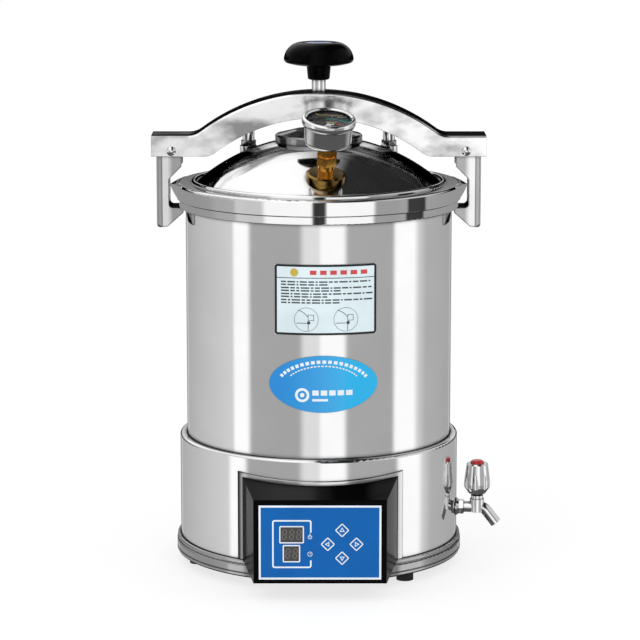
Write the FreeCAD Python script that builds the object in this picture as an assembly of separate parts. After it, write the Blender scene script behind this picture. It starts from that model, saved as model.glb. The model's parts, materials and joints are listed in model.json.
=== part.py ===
"""Benchtop steam autoclave: a pot on a heated base, closed by a lid, an arched beam and two hooks.

Millimetres, +Z up. Origin on the pot's vertical axis, at the plane the feet stand on.
-Y is the front, where the control box is, and +X is the side with the drain tap.
"""
import FreeCAD
import Part

import math
import os

V = FreeCAD.Vector
X_AXIS, Y_AXIS, Z_AXIS = V(1, 0, 0), V(0, 1, 0), V(0, 0, 1)
HALF_FIT = 0.05            # radial running clearance of every pin and spindle

# ---- driving dimensions ------------------------------------------------------------------
POT_R = 150.0              # outside of the jacket
CHAMBER_R = 140.0          # inside of the pressure chamber
CHAMBER_WALL = 2.0
CHAMBER_OUTER_R = CHAMBER_R + CHAMBER_WALL
CHAMBER_FLOOR_Z = 84.0
HEATER_X = 28.0            # the heater's two legs, at -X and +X
HEATER_ENTRY_Y = -95.0
HEATER_COIL_R = 95.0
DRAIN_X = 118.0            # drain hole in the chamber floor
PROBE_Z = CHAMBER_FLOOR_Z + 28
SHELF_Z = CHAMBER_FLOOR_Z + 38
BASKET_Z = SHELF_Z + 2
BASKET_TOP_Z = 393.2
BASKET_R = 128.0
BAIL_Z = 386.0             # height of the basket's handle when it lies down
INLET_Z = 60.0             # power inlet at the back

BASE_R = 158.0
BASE_WALL = 1.2
BASE_TOP_Z = 148.0
BASE_BOTTOM_Z = 14.0
TRIM_R = 162.4             # beaded trim ring round the foot of the base
TRIM_TOP_Z = 31.0
FOOT_ANGLES = (-47.0, 73.0, 193.0)
FOOT_CIRCLE_R = 141.0
FOOT_R = 9.5
FOOT_HEIGHT = 11.0

FLANGE_R = 157.0           # pot flange, which the hooks grip
FLANGE_BOTTOM_Z = 407.0
SEAL_PLANE_Z = 416.0       # top of the pot flange
LID_R = 160.0
LID_TOP_Z = 434.0          # flat brim of the lid
LID_WALL = 2.0
DOME_SPHERE_R = 210.0
DOME_TOP_Z = 485.0
DOME_FOOT_R = 138.0
EAR_TIP_X = 167.0

BEAM_HALF_LENGTH = 187.0
BEAM_HALF_WIDTH = 25.0
BEAM_WALL = 2.5
BEAM_END_TOP_Z = 488.0
BEAM_END_BOTTOM_Z = 465.0
BEAM_TOP_Z = 536.0
BEAM_TOP_ARC_R = 222.0
BEAM_BOTTOM_ARC_R = 190.0
BEAM_ARCH_BOTTOM_Z = 508.0
PIN_X = 164.5
PIN_Z = 471.0
PIN_R = 4.0
PIN_HEAD_R = 6.2
HOOK_HALF_WIDTH = 20.0
HOOK_WALL = 3.0
HOOK_TOP_Z = 482.0
HOOK_OUTER_X = 181.5
HOOK_INNER_X = 153.5       # inner edge beside the pin
HOOK_WAIST_X = 167.9       # inner edge beside the lid
HOOK_NOSE_X = 151.8
NOSE_TOP_Z = FLANGE_BOTTOM_Z - 0.3

SCREW_R = 7.8
SCREW_NECK_R = 5.5         # upper end of the screw, inside the knob
KNOB_R = 39.0
KNOB_RIM_Z = 573.0         # height where the knob is widest
KNOB_TOP_Z = 590.5
KNOB_INSERT_R = 16.5
KNOB_INSERT_Z = KNOB_TOP_Z - 1.6
KNOB_SCALLOP_ANGLES = (30.0, 150.0, 270.0)

BOX_FRONT_Y = -196.0       # face of the control box
BOX_BACK_Y = -120.0
BOX_X = 1.5                # the control box sits this much to the right
BOX_WALL = 2.5
BOX_BACK_HALF_X, BOX_BACK_TOP_Z, BOX_BACK_BOTTOM_Z = 88.5, 128.0, 33.0
BOX_FRONT_HALF_X, BOX_FRONT_TOP_Z, BOX_FRONT_BOTTOM_Z = 72.0, 113.0, 20.0
BOX_SEAT_R = BASE_R + 0.3  # back edge of the control box, against the base
PANEL_X, PANEL_Z = 1.4, 66.6
PANEL_W, PANEL_H = 132.6, 82.4
KEY_NAMES = ("key_top", "key_bottom", "key_left", "key_right")
KEY_CENTRE_X, KEY_CENTRE_Z = 25.3, 64.9
KEY_SPACING = 15.5
KEY_HALF_DIAGONAL = 8.0
DISPLAY_WINDOWS = ((-29.3, 75.4, 25.8, 18.4), (-29.5, 54.3, 18.0, 18.4))   # x, z, width, height

TAP_AZIMUTH = -8.0         # degrees about Z from +X
TAP_Z = 63.5
TAP_KNOB_X = 182.0
TAP_START_X = 144.0        # inner end of the tap's bore
TAP_OUTER_R, TAP_BORE_R = 6.2, 4.2
TAP_SPINDLE_R = 4.0
TAP_BEND_R = 8.0
SPOUT_LENGTH = 18.5
SPOUT_DROP = 52.0          # degrees below level

GAUGE_X = 7.5
GAUGE_Y = -111.0
GAUGE_TILT = 16.0          # degrees forward from upright
GAUGE_LEAN = 3.0           # degrees to the right
GAUGE_CASE_LOW = 38.5      # distances along the gauge's own axis, from the dome
GAUGE_RIM = 70.5
POINTER_REST = 125.0       # degrees about the gauge's axis from the back of the dial
VALVE_X = 80.0
VALVE_Y = 50.0
VALVE_LIFT = 3.0           # the valves stand this much above the dome
VALVE_SPIGOT_R = 4.95

BADGE_X, BADGE_Z = 5.0, 231.5
BADGE_HALF_W, BADGE_HALF_H = 59.0, 31.5
PLATE_X0, PLATE_X1, PLATE_Z0, PLATE_Z1 = -47.5, 62.4, 286.0, 363.0

DOME_CENTRE = V(0, 0, DOME_TOP_Z - DOME_SPHERE_R)


def dome_height(x, y, sphere_r=DOME_SPHERE_R):
    """Height of the lid's dome above a point of the plan."""
    return DOME_CENTRE.z + math.sqrt(sphere_r ** 2 - x * x - y * y)


# ---- small shape helpers -----------------------------------------------------------------
def cylinder(r, z0, z1, x=0.0, y=0.0):
    return Part.makeCylinder(r, z1 - z0, V(x, y, z0))


def tube(r_out, r_in, z0, z1, x=0.0, y=0.0):
    return cylinder(r_out, z0, z1, x, y).cut(cylinder(r_in, z0 - 1, z1 + 1, x, y))


def cylinder_x(r, x0, x1, y, z):
    return Part.makeCylinder(r, x1 - x0, V(x0, y, z), X_AXIS)


def cylinder_y(r, y0, y1, x, z):
    return Part.makeCylinder(r, y1 - y0, V(x, y0, z), Y_AXIS)


def block(x0, x1, y0, y1, z0, z1):
    return Part.makeBox(x1 - x0, y1 - y0, z1 - z0, V(x0, y0, z0))


def cone(r0, r1, z0, z1, x=0.0, y=0.0):
    return Part.makeCone(r0, r1, z1 - z0, V(x, y, z0))


def sphere(r, centre):
    return Part.makeSphere(r, centre)


def polygon(points):
    return Part.makePolygon(list(points) + [points[0]])


def lathe(outline):
    """Solid of revolution about Z of a closed outline of (radius, height) points.

    A three-part entry ("arc", (r, z), (r, z)) is an arc through its first point to its second.
    """
    return Part.Face(trace(outline, lambda r, z: V(r, 0, z))).revolve(V(0, 0, 0), Z_AXIS, 360)


def trace(outline, place):
    """Closed wire of straight and arc pieces; place turns a pair of numbers into a point."""
    edges = []
    start = last = place(*outline[0])
    for step in outline[1:]:
        if step[0] == "arc":
            end = place(*step[2])
            edges.append(Part.Arc(last, place(*step[1]), end).toShape())
        else:
            end = place(*step)
            edges.append(Part.makeLine(last, end))
        last = end
    if last.sub(start).Length > 1e-6:
        edges.append(Part.makeLine(last, start))
    return Part.Wire(edges)


def slab_xz(outline, y0, y1):
    """A closed XZ outline extruded from y0 to y1."""
    face = Part.Face(trace(outline, lambda x, z: V(x, y0, z)))
    return face.extrude(V(0, y1 - y0, 0))


def fuse(*shapes):
    result = shapes[0].fuse(list(shapes[1:]))
    return result.removeSplitter()


def turned(shape, degrees, centre=V(0, 0, 0), axis=Z_AXIS):
    copy = shape.copy()
    copy.rotate(centre, axis, degrees)
    return copy


def mirrored_x(shape):
    return shape.mirror(V(0, 0, 0), X_AXIS)


def group(shapes):
    return Part.makeCompound(list(shapes))


def around(shape, angles):
    """Separate copies of a shape turned about the pot's axis."""
    return group(turned(shape, angle) for angle in angles)


def drilled(shape, hole_r, ring_r, count, z0, z1):
    """The shape with a ring of evenly spaced upright holes about the pot's axis."""
    for i in range(count):
        shape = shape.cut(turned(cylinder(hole_r, z0, z1, ring_r), 360 * i / count))
    return shape


def round_edges(solid, radius, wanted):
    """Fillets every edge that the test says yes to."""
    edges = [edge for edge in solid.Edges if wanted(edge)]
    return solid.makeFillet(radius, edges)


def hexagon(across, z0, z1, x=0.0, y=0.0):
    r = across / math.sqrt(3)
    corners = [V(x + r * math.cos(math.radians(60 * i + 30)),
                 y + r * math.sin(math.radians(60 * i + 30)), z0) for i in range(6)]
    return Part.Face(polygon(corners)).extrude(V(0, 0, z1 - z0))


def save(name, shape):
    for solid in shape.Solids:
        if not solid.isValid():
            raise RuntimeError(name + " is not valid")
    if not shape.Solids:
        raise RuntimeError(name + " has no solid")
    shape.exportStep("parts/" + name + ".step")


# ---- base ----------------------------------------------------------------------------------
def box_form(grow, front_y=BOX_FRONT_Y):
    """Tapering form of the control box, grown or shrunk by a wall thickness."""
    def frame(y, half_x, z0, z1):
        x0, x1 = BOX_X - half_x - grow, BOX_X + half_x + grow
        return polygon([V(x0, y, z0 - grow), V(x1, y, z0 - grow), V(x1, y, z1 + grow), V(x0, y, z1 + grow)])
    back = frame(BOX_BACK_Y, BOX_BACK_HALF_X, BOX_BACK_BOTTOM_Z, BOX_BACK_TOP_Z)
    front = frame(front_y, BOX_FRONT_HALF_X, BOX_FRONT_BOTTOM_Z, BOX_FRONT_TOP_Z)
    return Part.makeLoft([back, front], True, True)


def make_base():
    lip_r = POT_R + 0.6
    outer = lathe([
        (BASE_R, BASE_BOTTOM_Z), (BASE_R, BASE_TOP_Z - 3),
        ("arc", (BASE_R - 0.88, BASE_TOP_Z - 0.88), (BASE_R - 3, BASE_TOP_Z)),
        (lip_r, BASE_TOP_Z), (lip_r, BASE_TOP_Z - 4),
        (lip_r + BASE_WALL, BASE_TOP_Z - 4), (lip_r + BASE_WALL, BASE_TOP_Z - BASE_WALL),
        (BASE_R - 3, BASE_TOP_Z - BASE_WALL),
        ("arc", (BASE_R - 1.73, BASE_TOP_Z - 1.73), (BASE_R - BASE_WALL, BASE_TOP_Z - 3)),
        (BASE_R - BASE_WALL, BASE_BOTTOM_Z)])
    window = block(-78, 78, -BASE_R - 10, -100, 38, 118)
    tap_hole = turned(cylinder_x(8.2, 140, 170, 0, TAP_Z), TAP_AZIMUTH)
    inlet_hole = block(-13.7, 13.7, 140, 170, INLET_Z - 10.2, INLET_Z + 10.2)
    save("base_shell", outer.cut(window).cut(tap_hole).cut(inlet_hole))
    make_trim_ring()
    make_bottom_plate()
    make_feet()


def make_trim_ring():
    """Beaded ring: a wide band at the foot, then two narrower beads."""
    r = TRIM_R
    trim = lathe([
        (BASE_R + 0.1, 12), (r - 2, 12), ("arc", (r - 0.6, 12.6), (r, 14)), (r, 16.2),
        ("arc", (r - 1.0, 17), (r, 17.8)), (r, 24.2), ("arc", (r - 0.4, 25.1), (r - 1.3, 25.5)),
        (r - 1.3, 26.3), ("arc", (r - 0.5, 27), (r - 0.8, 28)), (r - 0.8, 29.2),
        ("arc", (r - 1.2, 30.4), (r - 2.4, TRIM_TOP_Z)), (BASE_R + 0.1, TRIM_TOP_Z)])
    save("base_trim_ring", trim.cut(box_form(0.4)))


def make_bottom_plate():
    plate = tube(BASE_R - BASE_WALL - 0.2, 6, BASE_BOTTOM_Z, BASE_BOTTOM_Z + 1.5)
    for ring_r, count in ((60, 12), (90, 18)):
        plate = drilled(plate, 4, ring_r, count, 10, 20)
    for angle in FOOT_ANGLES:
        plate = plate.cut(turned(cylinder(2.6, 10, 20, FOOT_CIRCLE_R), angle))
    save("bottom_plate", plate)


def make_feet():
    """Solid rubber feet on the studs bonded to them, made on the +X axis and then turned into place."""
    x, stud_r, disc_r, disc_top = FOOT_CIRCLE_R, 2.5, 4.0, FOOT_HEIGHT + 1.5
    foot = fuse(cylinder(FOOT_R, 0, FOOT_HEIGHT, x), tube(5.4, disc_r + 0.02, FOOT_HEIGHT - 1, BASE_BOTTOM_Z, x))
    save("rubber_feet", around(foot, FOOT_ANGLES))
    stud = fuse(cylinder(disc_r, FOOT_HEIGHT + 0.02, disc_top, x), cylinder(stud_r, disc_top - 0.5, 24, x))
    nut = hexagon(8, 15.6, 19.6, x).cut(cylinder(stud_r + 0.02, 10, 30, x))
    save("foot_fasteners", group([around(stud, FOOT_ANGLES), around(nut, FOOT_ANGLES)]))


def make_control_box():
    face = BOX_FRONT_Y
    housing = box_form(0).cut(cylinder(BOX_SEAT_R, -10, 200))
    housing = housing.cut(cylinder(TRIM_R + 0.4, -10, TRIM_TOP_Z + 0.6))
    housing = round_edges(housing, 1.6, lambda e: e.BoundBox.YMax < face + 0.1 and e.Length > 60)
    housing = housing.cut(box_form(-BOX_WALL, face + BOX_WALL))
    bosses = [cylinder_y(3.0, face + BOX_WALL - 0.5, face + 7.2, PANEL_X + x, z)
              for x in (-54, 54) for z in (34, 98)]
    housing = fuse(housing, *bosses)
    for x, z in key_places():
        housing = housing.cut(cylinder_y(4.0, face - 2, face + 6, x, z))
    for x, z, w, h in DISPLAY_WINDOWS:
        housing = housing.cut(display_block(x, z, w - 3.6, h - 3.6, face - 2, face + 6))
    save("control_housing", housing)
    make_panel()
    make_keys_and_displays()
    make_circuit_board()


def make_panel():
    face = BOX_FRONT_Y
    ring = tube(BASE_R + 2.2, BASE_R + 0.02, TRIM_TOP_Z + 0.6, BASE_TOP_Z)
    save("control_frame", box_form(4.5).cut(box_form(0.3)).common(ring))

    panel = block(PANEL_X - PANEL_W / 2, PANEL_X + PANEL_W / 2, face - 1.0, face - 0.02,
                  PANEL_Z - PANEL_H / 2, PANEL_Z + PANEL_H / 2)
    for x, z in key_places():
        panel = panel.cut(diamond(KEY_HALF_DIAGONAL + 0.25, x, z, face - 2, face + 1))
    for x, z, w, h in DISPLAY_WINDOWS:
        panel = panel.cut(display_block(x, z, w, h, face - 2, face + 1))
    save("control_panel", panel)


def make_keys_and_displays():
    face = BOX_FRONT_Y
    displays = [fuse(display_block(x, z, w - 0.4, h - 0.4, face - 0.6, face - 0.05),
                     display_block(x, z, w - 4, h - 4, face - 0.3, face + 7))
                for x, z, w, h in DISPLAY_WINDOWS]
    save("led_displays", group(displays))

    for name, (x, z) in zip(KEY_NAMES, key_places()):
        cap = diamond(KEY_HALF_DIAGONAL, x, z, face - 1.3, face - 0.55)
        save(name, fuse(cap, cylinder_y(3.2, face - 0.8, face + 6.5, x, z)))


def make_circuit_board():
    face = BOX_FRONT_Y
    board = block(PANEL_X - 58, PANEL_X + 58, face + 7.2, face + 8.8, 30, 102)
    switches = [block(x - 3, x + 3, face + 8.5, face + 11.5, z - 3, z + 3) for x, z in key_places()]
    relay = block(30, 56, face + 8.5, face + 24, 86, 100)
    transformer = block(-50, -16, face + 8.5, face + 34, 36, 62)
    save("circuit_board", fuse(board, relay, transformer, *switches))


def display_block(x, z, w, h, y0, y1):
    return block(x - w / 2, x + w / 2, y0, y1, z - h / 2, z + h / 2)


def key_places():
    x, z, d = KEY_CENTRE_X, KEY_CENTRE_Z, KEY_SPACING
    return ((x, z + d), (x, z - d), (x - d, z), (x + d, z))


def diamond(half, x, z, y0, y1):
    return slab_xz([(x - half, z), (x, z - half), (x + half, z), (x, z + half)], y0, y1)


# ---- pot -----------------------------------------------------------------------------------
def ear_wedge(r, tip_x, z0, z1):
    """Prism between a circle of radius r and its two tangents that meet at tip_x."""
    touch = math.acos(r / tip_x)
    x, y = r * math.cos(touch), r * math.sin(touch)
    face = Part.Face(polygon([V(0, 0, z0), V(x, -y, z0), V(tip_x, 0, z0), V(x, y, z0)]))
    return face.extrude(V(0, 0, z1 - z0))


def make_pot():
    make_chamber()
    make_wall()
    make_heater()
    make_shelf()
    make_basket()
    make_probe()
    make_inlet()


def make_chamber():
    outer, z = CHAMBER_OUTER_R, CHAMBER_FLOOR_Z
    chamber = lathe([
        (0, z), (CHAMBER_R - 18, z), ("arc", (CHAMBER_R - 5.3, z + 5.3), (CHAMBER_R, z + 18)),
        (CHAMBER_R, SEAL_PLANE_Z), (outer, SEAL_PLANE_Z), (outer, z + 16),
        ("arc", (outer - 5.9, z + 1.9), (outer - 20, z - 4)), (0, z - 4)])
    for x in (-HEATER_X, HEATER_X):
        chamber = chamber.cut(cylinder(5.0, z - 10, z + 5, x, HEATER_ENTRY_Y))
    drain_hole = turned(cylinder(6.0, z - 10, z + 5, DRAIN_X), TAP_AZIMUTH)
    probe_hole = cylinder_y(4.0, outer - 20, outer + 5, 0, PROBE_Z)
    save("chamber", chamber.cut(drain_hole).cut(probe_hole))

    r, low, top = FLANGE_R, FLANGE_BOTTOM_Z, SEAL_PLANE_Z
    flange = lathe([(outer + 0.02, low), (r - 1, low), ("arc", (r - 0.29, low + 0.29), (r, low + 1)),
                    (r, top - 0.6), (r - 0.6, top), (outer + 0.02, top)])
    save("pot_flange", flange)
    gasket = lathe([(142.5, SEAL_PLANE_Z), (150, SEAL_PLANE_Z), (150, SEAL_PLANE_Z + 4),
                    ("arc", (146.2, SEAL_PLANE_Z + 5.8), (142.5, SEAL_PLANE_Z + 4))])
    save("lid_gasket", gasket)


def make_wall():
    """Jacket and insulation round the chamber, and the ring that carries them on the base."""
    outer, low_z = CHAMBER_OUTER_R, 100
    jacket = tube(POT_R, POT_R - 0.8, low_z, FLANGE_BOTTOM_Z)
    save("outer_jacket", jacket.cut(cylinder_y(6, 130, 160, 0, PROBE_Z)))
    wool = tube(POT_R - 1.0, outer + 0.4, low_z + 4, FLANGE_BOTTOM_Z - 2)
    save("insulation", wool.cut(cylinder_y(6.5, 130, 160, 0, PROBE_Z)))
    ledge = tube(POT_R - 0.9, outer + 0.2, low_z, low_z + 3)
    bracket = fuse(block(outer + 1.5, POT_R - 1.1, -8, 8, low_z - 3.5, low_z + 2),
                   block(outer + 1.5, BASE_R - BASE_WALL - 0.4, -8, 8, low_z - 3.5, low_z - 0.1))
    save("jacket_support_ring", fuse(ledge, *[turned(bracket, angle) for angle in (45, 135, 225, 315)]))


def make_heater():
    z, coil_z, leg_r = CHAMBER_FLOOR_Z, CHAMBER_FLOOR_Z + 22, 4.4
    coil = Part.makeTorus(HEATER_COIL_R, leg_r + 0.1, V(0, 0, coil_z))
    coil = coil.cut(block(4 - HEATER_X, HEATER_X - 4, -110, -80, z, z + 40))
    legs = [cylinder(leg_r, z - 12, coil_z, x, HEATER_ENTRY_Y) for x in (-HEATER_X, HEATER_X)]
    nuts = [hexagon(17, z - 9.5, z - 4.02, x, HEATER_ENTRY_Y) for x in (-HEATER_X, HEATER_X)]
    save("heating_element", fuse(coil, *legs, *nuts))


def make_shelf():
    shelf = cylinder(132, SHELF_Z, SHELF_Z + 1.5)
    for ring_r, count in ((0, 1), (30, 6), (60, 12), (90, 18), (115, 24)):
        shelf = drilled(shelf, 4, ring_r, count, SHELF_Z - 1, SHELF_Z + 3)
    foot = cylinder(3, CHAMBER_FLOOR_Z + 0.02, SHELF_Z + 0.5, 112)
    save("basket_shelf", fuse(shelf, *[turned(foot, angle) for angle in (30, 150, 270)]))


def make_basket():
    """Perforated basket with its bail handle lying down."""
    z, top, r = BASKET_Z, BASKET_TOP_Z, BASKET_R
    wall = 1.2
    basket = lathe([(0, z), (r, z), (r, top - wall), (r + 3, top - wall), (r + 3, top), (r - wall, top),
                    (r - wall, z + wall), (0, z + wall)])
    for level in range(4):
        for i in range(12):
            hole = cylinder_x(4, r - 8, r + 7, 0, z + 40 + 55 * level)
            basket = basket.cut(turned(hole, 30 * i + 15 * (level % 2)))
    basket = drilled(basket, 4, 100, 18, z - 1, z + 3)
    save("basket", basket.cut(cylinder_x(2.6, -r - 7, r + 7, 0, BAIL_Z)))

    bail = Part.makeTorus(122, 2.4, V(0, 0, BAIL_Z))
    bail = bail.common(block(-140, 140, 0, 140, BAIL_Z - 16, BAIL_Z + 14))
    ends = [cylinder_x(2.5, 119.6, 132.5, 0, BAIL_Z), cylinder_x(2.5, -132.5, -119.6, 0, BAIL_Z)]
    save("basket_handle", fuse(bail, *ends))


def make_probe():
    r, tip_y = 3.9, 112
    rod = cylinder_y(r, tip_y, CHAMBER_OUTER_R + 14, 0, PROBE_Z)
    save("temperature_probe", fuse(rod, sphere(r, V(0, tip_y, PROBE_Z))))


def make_inlet():
    """Power inlet at the back of the base, with its three blades."""
    body = block(-13.5, 13.5, 146, BASE_R + 1.0, INLET_Z - 10, INLET_Z + 10)
    bezel = block(-20, 20, BASE_R + 0.02, BASE_R + 3.0, INLET_Z - 14, INLET_Z + 14)
    socket = block(-10.5, 10.5, 150, BASE_R + 4, INLET_Z - 7, INLET_Z + 7)
    blades = [block(x - 1, x + 1, 149, BASE_R, z, z + 4)
              for x, z in ((-6, INLET_Z - 3.5), (6, INLET_Z - 3.5), (0, INLET_Z + 0.5))]
    save("power_inlet", fuse(fuse(body, bezel).cut(socket), *blades))


# ---- drain tap -----------------------------------------------------------------------------
def put_tap(name, shape):
    """Saves a part of the tap, made along +X, at the tap's own angle on the base."""
    save(name, turned(shape, TAP_AZIMUTH))


def make_tap():
    x, z = TAP_KNOB_X, TAP_Z
    put_tap("tap_rose", lathe_x([(BASE_R + 0.02, 8.4), (BASE_R + 0.02, 10.0), (BASE_R + 1.2, 9.8),
                                 (BASE_R + 3.6, 7.9), (BASE_R + 3.6, 6.3), (BASE_R + 0.02, 6.3)]))
    path = tap_path()
    bonnet = fuse(cylinder(8.2, z - 5, z + 10, x), cylinder(7.0, z + 9, z + 14, x))
    body = fuse(sweep_tap(path, TAP_OUTER_R), bonnet, hexagon_x(15, BASE_R + 3.7, BASE_R + 9, z))
    bore = fuse(sweep_tap(path, TAP_BORE_R), cylinder(TAP_SPINDLE_R + HALF_FIT, z, z + 20, x))
    put_tap("tap_body", body.cut(bore))
    nut_hole = cylinder_x(TAP_OUTER_R + HALF_FIT, 140, 170, 0, z)
    put_tap("tap_back_nut", hexagon_x(20, 150.5, 155.5, z).cut(nut_hole))
    spindle = fuse(cylinder(TAP_SPINDLE_R, z + 5, z + 28, x), cylinder(TAP_SPINDLE_R - 0.4, z + 4, z + 6, x))
    put_tap("tap_spindle", spindle)
    make_tap_handle()
    make_drain_pipe()


def make_tap_handle():
    x, z = TAP_KNOB_X, TAP_Z
    grip = lathe([(0, z + 16.5), (9.5, z + 16.5), (14.8, z + 24), (15.0, z + 28),
                  (12.2, z + 50), (11.2, z + 51.5), (0, z + 51.5)])
    for i in range(8):
        grip = grip.cut(turned(cylinder(3.4, z + 15, z + 53, 16.9), 45 * i))
    grip.translate(V(x, 0, 0))
    grip = grip.cut(cylinder(TAP_SPINDLE_R, z + 10, z + 28, x))
    put_tap("tap_handle", grip.cut(cylinder(7.6, z + 50.7, z + 60, x)))
    cap = lathe([(0, z + 50.8), (7.5, z + 50.8), (7.5, z + 52.4),
                 ("arc", (6.6, z + 54.0), (4.4, z + 54.7)), (0, z + 54.9)])
    cap.translate(V(x, 0, 0))
    put_tap("tap_index_cap", cap)


def make_drain_pipe():
    """Pipe that drops from the chamber floor and bends out to the tap."""
    top, bend_r = V(DRAIN_X, 0, CHAMBER_FLOOR_Z), 12.0
    bend_start = V(DRAIN_X, 0, TAP_Z + bend_r)
    part_way = bend_r * (1 - math.cos(math.radians(45)))
    bend_middle = V(DRAIN_X + part_way, 0, TAP_Z + part_way)
    bend_end = V(DRAIN_X + bend_r, 0, TAP_Z)
    path = Part.Wire([Part.makeLine(top, bend_start), Part.Arc(bend_start, bend_middle, bend_end).toShape(),
                      Part.makeLine(bend_end, V(TAP_START_X - 0.2, 0, TAP_Z))])
    outside, bore = [path.makePipeShell([Part.Wire(Part.makeCircle(r, top, Z_AXIS))], True, False)
                     for r in (5.9, TAP_BORE_R)]
    collar = tube(8.6, 5.0, CHAMBER_FLOOR_Z - 9, CHAMBER_FLOOR_Z - 4.1, DRAIN_X)
    put_tap("drain_pipe", fuse(outside.cut(bore), collar))


def tap_path():
    """Centre line of the tap: level out of the base, then bent down to the spout."""
    bend_x, turn = TAP_KNOB_X + 4.0, math.radians(SPOUT_DROP)

    def on_bend(angle):
        return V(bend_x + TAP_BEND_R * math.sin(angle), 0, TAP_Z - TAP_BEND_R * (1 - math.cos(angle)))
    bend_end = on_bend(turn)
    tip = bend_end.add(V(math.cos(turn), 0, -math.sin(turn)).multiply(SPOUT_LENGTH))
    return Part.Wire([Part.makeLine(V(TAP_START_X, 0, TAP_Z), on_bend(0)),
                      Part.Arc(on_bend(0), on_bend(turn / 2), bend_end).toShape(),
                      Part.makeLine(bend_end, tip)])


def sweep_tap(path, r):
    ring = Part.Wire(Part.makeCircle(r, V(TAP_START_X, 0, TAP_Z), X_AXIS))
    return path.makePipeShell([ring], True, False)


def lathe_x(outline):
    """Solid of revolution about the tap's level axis, of (x, radius) points."""
    face = Part.Face(polygon([V(x, 0, TAP_Z + r) for x, r in outline]))
    return face.revolve(V(0, 0, TAP_Z), X_AXIS, 360)


def hexagon_x(across, x0, x1, z):
    r = across / math.sqrt(3)
    angles = [math.radians(60 * i) for i in range(6)]
    corners = [V(x0, r * math.cos(a), z + r * math.sin(a)) for a in angles]
    return Part.Face(polygon(corners)).extrude(V(x1 - x0, 0, 0))


# ---- lid and what it carries ---------------------------------------------------------------
def gauge_place(shape):
    """Takes a shape made upright at the origin to the gauge's place on the dome."""
    moved = turned(turned(shape, GAUGE_LEAN, axis=Y_AXIS), GAUGE_TILT, axis=X_AXIS)
    moved.translate(V(GAUGE_X, GAUGE_Y, dome_height(GAUGE_X, GAUGE_Y)))
    return moved


def make_lid():
    low, foot_r, r = SEAL_PLANE_Z + 0.4, DOME_FOOT_R, LID_R
    dome = sphere(DOME_SPHERE_R, DOME_CENTRE).common(cylinder(foot_r, LID_TOP_Z - 3, DOME_TOP_Z + 1))
    brim = lathe([
        (foot_r - 6, low), (foot_r + 2, low), (foot_r + 2, low + 5.8), (r - 3, low + 5.8), (r - 3, low),
        (r - 0.6, low), (r, low + 0.6),
        (r, LID_TOP_Z - 3.5), ("arc", (r - 1.03, LID_TOP_Z - 1.03), (r - 3.5, LID_TOP_Z)),
        (foot_r + 5.5, LID_TOP_Z), ("arc", (foot_r + 2, LID_TOP_Z + 3.5), (foot_r - 1.5, LID_TOP_Z)),
        (foot_r - 6, LID_TOP_Z)])
    hollow = sphere(DOME_SPHERE_R - LID_WALL, DOME_CENTRE)
    hollow = hollow.common(cylinder(foot_r - 2, SEAL_PLANE_Z, DOME_TOP_Z))
    ear = lid_ear(low)
    lid = fuse(dome, brim, ear, mirrored_x(ear)).cut(hollow)
    lid = lid.cut(gauge_place(cylinder(6.0, -20, 20)))
    for side in (-1, 1):
        lid = lid.cut(cylinder(VALVE_SPIGOT_R + HALF_FIT, 430, 480, side * VALVE_X, VALVE_Y))
    save("lid", lid)

    top = DOME_TOP_Z
    boss = lathe([(0, 470), (49, 470), (49, top + 1.0), ("arc", (47.8, top + 2.6), (46, top + 3.2)),
                  (27, 493), (0, 493)])
    boss = boss.cut(sphere(DOME_SPHERE_R, DOME_CENTRE)).cut(cylinder(SCREW_R + HALF_FIT, 488, 500))
    save("lid_boss", boss)
    save("screw_retainer", tube(17, SCREW_R - 1.5, 493.0, 497.0))


def lid_ear(low):
    """Guide ear on the lid's right edge, with its upper and lower corners rounded off."""
    ear = ear_wedge(LID_R - 0.3, EAR_TIP_X, low, LID_TOP_Z - 0.3)
    under = cone(LID_R - 1, EAR_TIP_X + 1, low, LID_TOP_Z - 3)
    over = cone(EAR_TIP_X + 1, LID_R - 1, LID_TOP_Z - 3, LID_TOP_Z)
    return ear.common(under.fuse(over)).cut(cylinder(LID_R - 2, 400, 500))


def make_gauge():
    base = fuse(cylinder(21.5, -18, 4.0), cone(21.5, 19, 4.0, 5.5)).cut(cylinder(6.0, -30, 30))
    save("gauge_base", gauge_place(base).cut(sphere(DOME_SPHERE_R, DOME_CENTRE)))
    low, rim = GAUGE_CASE_LOW, GAUGE_RIM
    stem = fuse(cylinder(6.0, -8, 6), cylinder(8.8, 5.52, 17), hexagon(21, 16, 26), cylinder(9.4, 26, 28),
                hexagon(21, 28, low - 0.2), cylinder(4.0, low - 1, low + 4))
    save("gauge_stem", gauge_place(stem))
    case = lathe([
        (4.05, low), (20, low), ("arc", (24.2, low + 1.8), (26, low + 6)), (26, rim - 4), (24.6, rim - 4),
        (24.6, low + 6.5), ("arc", (23.2, low + 3), (20, low + 1.5)), (4.05, low + 1.5)])
    save("gauge_case", gauge_place(case))
    bezel = lathe([
        (26.05, rim - 9), (28, rim - 9), ("arc", (29.2, rim - 6.5), (29.2, rim - 3)),
        ("arc", (28.2, rim - 0.6), (25.5, rim)), (24, rim - 1.5), (24, rim - 2.4), (26.05, rim - 2.4)])
    save("gauge_bezel", gauge_place(bezel))
    save("gauge_dial", gauge_place(tube(24.4, 0.85, rim - 13, rim - 12)))
    hub = fuse(cylinder(0.8, rim - 14, rim - 8), cylinder(2.6, rim - 10, rim - 8.5))
    needle = [V(-0.9, -7, rim - 9.8), V(0.9, -7, rim - 9.8), V(0.4, 18, rim - 9.8), V(-0.4, 18, rim - 9.8)]
    arm = Part.Face(polygon(needle)).extrude(V(0, 0, 0.8))
    save("gauge_pointer", gauge_place(turned(fuse(hub, arm), POINTER_REST)))
    save("gauge_glass", gauge_place(cylinder(25.9, rim - 3.95, rim - 2.5)))


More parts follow.
